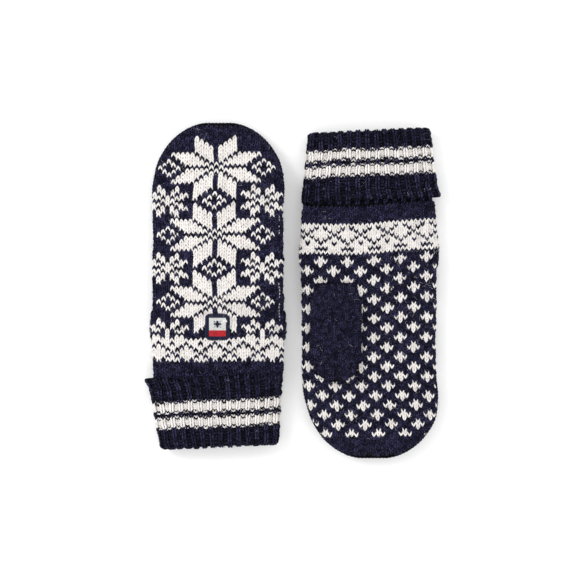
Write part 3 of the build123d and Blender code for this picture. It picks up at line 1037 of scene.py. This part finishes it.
# ---- Cuff ----
def cuff_section(mitten, edge_y, outer_length):
    """The fabric runs down the outside, round the fold, and up inside the wrist."""
    turn_length = math.pi * CUFF_ROLL
    side = mitten.side
    fold_x, edge_x = CUFF_SHIFT[side]

    def section(v):
        down = np.clip(v, None, outer_length)
        around = np.clip((v - outer_length) / CUFF_ROLL, 0.0, math.pi)
        up = np.clip(v - outer_length - turn_length, 0.0, None)
        y = edge_y - down - CUFF_ROLL * np.sin(around) + up
        deep = CUFF_ROLL * (1 - np.cos(around))
        along = y / mitten.cuff_length
        ear = CUFF_EAR[side] * (1 - smooth(v, 0.0, EAR_REACH))
        half_width = mitten.cuff_width / 2 - CUFF_INSET - CUFF_SLACK[side]
        half_width = half_width - CUFF_TAPER * (1 - along)
        half_width = half_width - deep * 1.15 + ear / 2
        x_middle = fold_x + (edge_x - fold_x) * along - ear / 2
        under = CUFF_INSET + deep
        return y, x_middle, half_width, under, mitten.cuff_depth - under

    return section


def build_cuff(mitten, rng):
    edge_y = mitten.cuff_length - 0.6 + CUFF_EDGE_RISE[mitten.side]
    outer_length = edge_y - CUFF_FOLD_RISE[mitten.side] - CUFF_ROLL - 0.4
    total = outer_length + math.pi * CUFF_ROLL + CUFF_INSIDE_ROWS * RIB_ROW
    section = cuff_section(mitten, edge_y, outer_length)
    tube = Tube(mitten, (-0.5, total), section, True, -1, shear=CUFF_SHEAR)
    body = f"{mitten.side}_cuff"
    ribbing(body, tube, total, 0.0, CUFF_STRIPES, body, rng, True)

    def cream_at(s, v):
        row = np.floor(v / RIB_ROW)
        found = np.zeros(np.shape(s), bool)
        for low, high in CUFF_STRIPES:
            found |= (row >= low) & (row < high)
        return found

    fabric = backing(f"{body}_fabric", tube, (0.0, total), RIB_BACKING, cream_at, body, False)
    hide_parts(f"{mitten.side}_turned_cuff")


# ---- Thumb ----
def thumb_section(mitten):
    low, high = mitten.thumb_z
    start, end = mitten.thumb_y

    def section(y):
        s = np.clip((y - (end - THUMB_TIP)) / THUMB_TIP, 0.0, 0.9999)
        grown = smooth(y, start - 3.0, start + THUMB_ROOT)
        round_tip = (1 - s**THUMB_TIP_POWER) ** (1 / THUMB_TIP_POWER)
        half_width = (mitten.thumb_width / 2 - THUMB_SIDE_INSET) * round_tip
        half_width = half_width - THUMB_ROOT_NARROWS * (1 - grown)
        half = ((high - low) / 2 - THUMB_INSET) * (1 - s**DEPTH_POWER) ** (1 / DEPTH_POWER)
        near = half * (THUMB_ROOT_THICK + (1 - THUMB_ROOT_THICK) * grown)
        sunk = THUMB_ROOT_SUNK * (1 - grown)
        if mitten.palm_up:
            base = (low + high) / 2 - half - sunk
            return y, mitten.thumb_x, half_width, base, base + 2 * near
        base = (low + high) / 2 + half + sunk
        return y, mitten.thumb_x, half_width, base - 2 * near, base

    return section


def build_collar(mitten, rng):
    """Ring of stitches picked up round the hole where the thumb starts."""
    x, y, radius, z = mitten.collar
    count = int(2 * math.pi * radius / COLLAR_STITCH)
    template = stitch(COLLAR_STITCH, COLLAR_STITCH, 0.45, depth=0.3)
    across, along, out = template.points.T
    turn = np.arange(count)[:, None] * 2 * math.pi / count + across / radius
    reach = radius - COLLAR_STITCH + along
    up = out + 0.1 * rng.normal(0.0, 1.0, (count, 1))
    height = z + up * (1 if mitten.palm_up else -1)
    verts = np.stack([x + reach * np.cos(turn), y + reach * np.sin(turn), height], axis=-1)
    name = f"{mitten.side}_thumb_collar"
    verts = mitten.to_frame(verts)
    piece = copies(f"{name}_yarn", template, verts, rng.random(count), NAVY, mitten.palm_up)
    finish_piece(piece, f"{mitten.side}_thumb_root")
    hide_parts(name)


def build_thumb(mitten, rng):
    start, end = mitten.thumb_y
    bend = mitten.thumb_bend()

    def row_v(r):
        return start - 2.0 + (r + 0.5) * THUMB_ROW

    for face, top in (("top", True), ("under", False)):
        v_range = (start - 3.0, end - 0.4)
        tube = Tube(mitten, v_range, thumb_section(mitten), top, 1 if top else -1)
        rows = np.arange(int((end - start + 2.0) / THUMB_ROW))
        pitch, _, _, s, v = panel_grid(tube, THUMB_COLUMNS, row_v, rows, edge=0.3)
        name = f"{mitten.side}_thumb_{face}"
        hairy = top == mitten.palm_up
        knit(name, tube, (pitch, THUMB_ROW), s, v, plain(s, v), bend, rng, THUMB_LOOP, hairy)
    name = f"{mitten.side}_thumb"
    v_range = (start - 2.5, end - 0.6)
    fabric = backing(f"{name}_fabric", tube, v_range, THUMB_BACKING, plain, bend, True)
    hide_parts(f"{name}_shell")
    v_range = (start + THUMB_FLEECE_START, end - 2.5)
    lining = sheet(f"{name}_fleece", tube, v_range, THUMB_FLEECE_DEPTH, plain, True, [FLEECE])
    finish_piece(lining, bend)
    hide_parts(f"{name}_lining")


def build_hand(mitten, rng):
    back_tube, back_cream = build_back(mitten, rng)
    palm_tube, palm_cream = build_palm(mitten, rng)
    side = mitten.side

    def cream_at(s, v):
        """Colour behind the stitches of both faces, seen from the palm's s."""
        half = palm_tube.half_at(v)
        back_s = np.sign(s) * (2 * half - np.abs(s))
        return np.where(np.abs(s) > half, back_cream(back_s, v), palm_cream(s, v))

    v_range = (mitten.hand_y[0] - 2.0, mitten.length - 0.6)
    name = f"{side}_hand"
    fabric = backing(f"{name}_fabric", palm_tube, v_range, BACKING, cream_at, name, True)
    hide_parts(f"{name}_shell")
    build_tip_edge(mitten, back_tube, rng)


# ---- Build both mittens ----
CARRIED = {
    "hand_lining": FLEECE,
    "lining_seam": THREAD,
    "lining_side_seam": THREAD,
    "tip_yarn": NAVY_PLAIN,
}
rng = np.random.default_rng(SEED)
for side in ("left", "right"):
    mitten = Mitten(side)
    build_hand(mitten, rng)
    build_wrist_rib(mitten, rng)
    build_cuff(mitten, rng)
    build_collar(mitten, rng)
    build_thumb(mitten, rng)
    for name, material in CARRIED.items():
        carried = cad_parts[f"{side}_{name}"]
        carried.data.materials.clear()
        carried.data.materials.append(material)


# ---- Stage ----
FLOOR_EDGE = 3.0  # the stage is in metres, but for the lens and its sensor
FLOOR_DROP = 0.0004
FIELD = 0.4524  # width of the floor in the picture
LENS = 100.0
SENSOR = 36.0
MIDDLE = (-0.0027, 0.0004)  # what the camera looks at
CAMERA_BASE = 0.012  # height of the knit that the field is measured at


def add_light(name, place, target, size, power):
    data = bpy.data.lights.new(name, "AREA")
    data.shape = "DISK"
    data.size = size
    data.energy = power
    light = bpy.data.objects.new(name, data)
    light.location = place
    light.rotation_euler = (Vector(target) - Vector(place)).to_track_quat("-Z", "Y").to_euler()
    bpy.context.scene.collection.objects.link(light)


floor_mesh = bpy.data.meshes.new("floor")
corners = [(x * FLOOR_EDGE, y * FLOOR_EDGE, 0) for x, y in ((-1, -1), (1, -1), (1, 1), (-1, 1))]
floor_mesh.from_pydata(corners, [], [(0, 1, 2, 3)])
floor = bpy.data.objects.new("floor", floor_mesh)
floor.location.z = -FLOOR_DROP
bpy.context.scene.collection.objects.link(floor)
floor_material, _, floor_shader = new_material("studio_floor", 0.9, 0.0)
floor_shader.inputs["Base Color"].default_value = (0.9, 0.9, 0.9, 1.0)
floor_shader.inputs["Emission Color"].default_value = (1.0, 1.0, 1.0, 1.0)
floor_shader.inputs["Emission Strength"].default_value = 0.14
floor_mesh.materials.append(floor_material)

world = bpy.data.worlds.new("studio")
world.use_nodes = True
background = world.node_tree.nodes["Background"]
background.inputs["Color"].default_value = (1.0, 1.0, 1.0, 1.0)
background.inputs["Strength"].default_value = 1.07
bpy.context.scene.world = world
add_light("key", (-0.9, 0.5, 1.1), (0, 0, 0), 0.5, 5.0)
add_light("fill", (0.9, -0.6, 1.3), (0, 0, 0), 1.2, 1.5)
bpy.context.scene.view_settings.view_transform = "Standard"

camera_data = bpy.data.cameras.new("camera")
camera_data.lens = LENS
camera_data.sensor_width = SENSOR
camera = bpy.data.objects.new("camera", camera_data)
camera.location = (*MIDDLE, CAMERA_BASE + FIELD * LENS / SENSOR)
bpy.context.scene.collection.objects.link(camera)
bpy.context.scene.camera = camera
